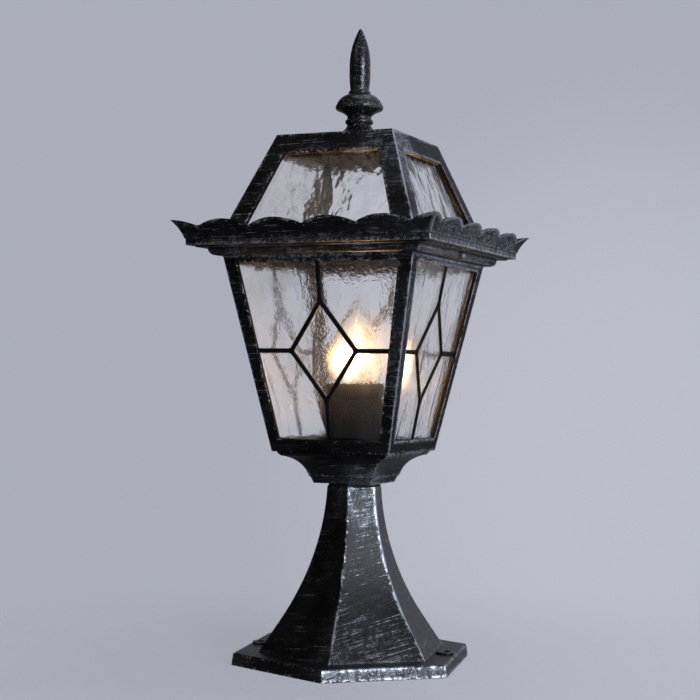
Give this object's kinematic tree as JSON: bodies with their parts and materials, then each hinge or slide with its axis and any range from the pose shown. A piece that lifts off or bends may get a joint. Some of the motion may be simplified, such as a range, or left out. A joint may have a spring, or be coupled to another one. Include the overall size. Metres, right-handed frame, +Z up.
{
  "type": "pedestal garden lantern",
  "caption": "Black pedestal garden lantern with a flared hexagonal foot, a tapered body glazed with wavy panes, a scalloped eave, a glazed roof, a spear finial and a screw-in bulb.",
  "frame": {"origin": "centre of the foot plate's underside, on the lantern's axis", "axes": "+Z up along the lantern's axis; the lantern's front faces -Y and its right side +X"},
  "size_m": [0.1774, 0.1774, 0.41],
  "materials": {
    "patinated_paint": "black paint, silver brushed over the edges",
    "black_came": "satin black",
    "black_screw": "satin black",
    "wavy_glass": "wavy clear",
    "bulb_glass": "clear",
    "zinc_steel": "zinc plated",
    "brass": "plain",
    "holder_plastic": "matt black",
    "block_plastic": "matt white",
    "live_sheath": "brown",
    "neutral_sheath": "blue",
    "bulb_cap": "satin",
    "cap_glaze": "black glaze",
    "solder": "soldered",
    "lead_wire": "drawn wire",
    "filament": "glowing"
  },
  "bodies": {
    "lamp": {"block_screw": "zinc_steel", "body_clip_screws": "zinc_steel", "body_frame": "patinated_paint", "body_pane_back": "wavy_glass", "body_pane_clips": "zinc_steel", "body_pane_front": "wavy_glass", "body_pane_left": "wavy_glass", "body_pane_right": "wavy_glass", "came_back": "black_came", "came_front": "black_came", "came_left": "black_came", "came_right": "black_came", "column_nut": "zinc_steel", "column_washer": "zinc_steel", "cup": "patinated_paint", "cup_screws": "zinc_steel", "eave": "patinated_paint", "eave_screws": "zinc_steel", "finial": "patinated_paint", "finial_screw": "zinc_steel", "finial_washer": "zinc_steel", "holder_nut": "zinc_steel", "holder_washer": "zinc_steel", "lampholder_contact": "brass", "lampholder_housing": "holder_plastic", "lampholder_shell": "brass", "lampholder_terminals": "brass", "live_wire": "live_sheath", "neutral_wire": "neutral_sheath", "nipple": "brass", "pedestal": "patinated_paint", "roof_clip_screws": "zinc_steel", "roof_fixing_screws": "black_screw", "roof_frame": "patinated_paint", "roof_pane_back": "wavy_glass", "roof_pane_clips": "zinc_steel", "roof_pane_front": "wavy_glass", "roof_pane_left": "wavy_glass", "roof_pane_right": "wavy_glass", "terminal_block": "block_plastic", "terminal_screws": "zinc_steel", "terminal_strap": "zinc_steel"},
    "bulb_contact": {"bulb_tip": "solder"},
    "bulb": {"bulb_glass": "bulb_glass", "bulb_cap": "bulb_cap", "bulb_insulator": "cap_glaze", "bulb_stem": "bulb_glass", "bulb_leads": "lead_wire", "filament": "filament"}
  },
  "joints": [
    {"name": "bulb_lift", "type": "slide", "parent": "lamp", "child": "bulb_contact", "axis": [0, 0, 1], "range_m": [0, 0.0091]},
    {"name": "bulb_turn", "type": "hinge", "parent": "bulb_contact", "child": "bulb", "pos_m": [0, 0, 0.15], "axis": [0, 0, 1], "range_deg": [0, 900]}
  ],
  "couplings": [
    {"joint": "bulb_lift", "follows": "bulb_turn", "m_per_rad": 0.00057757}
  ]
}
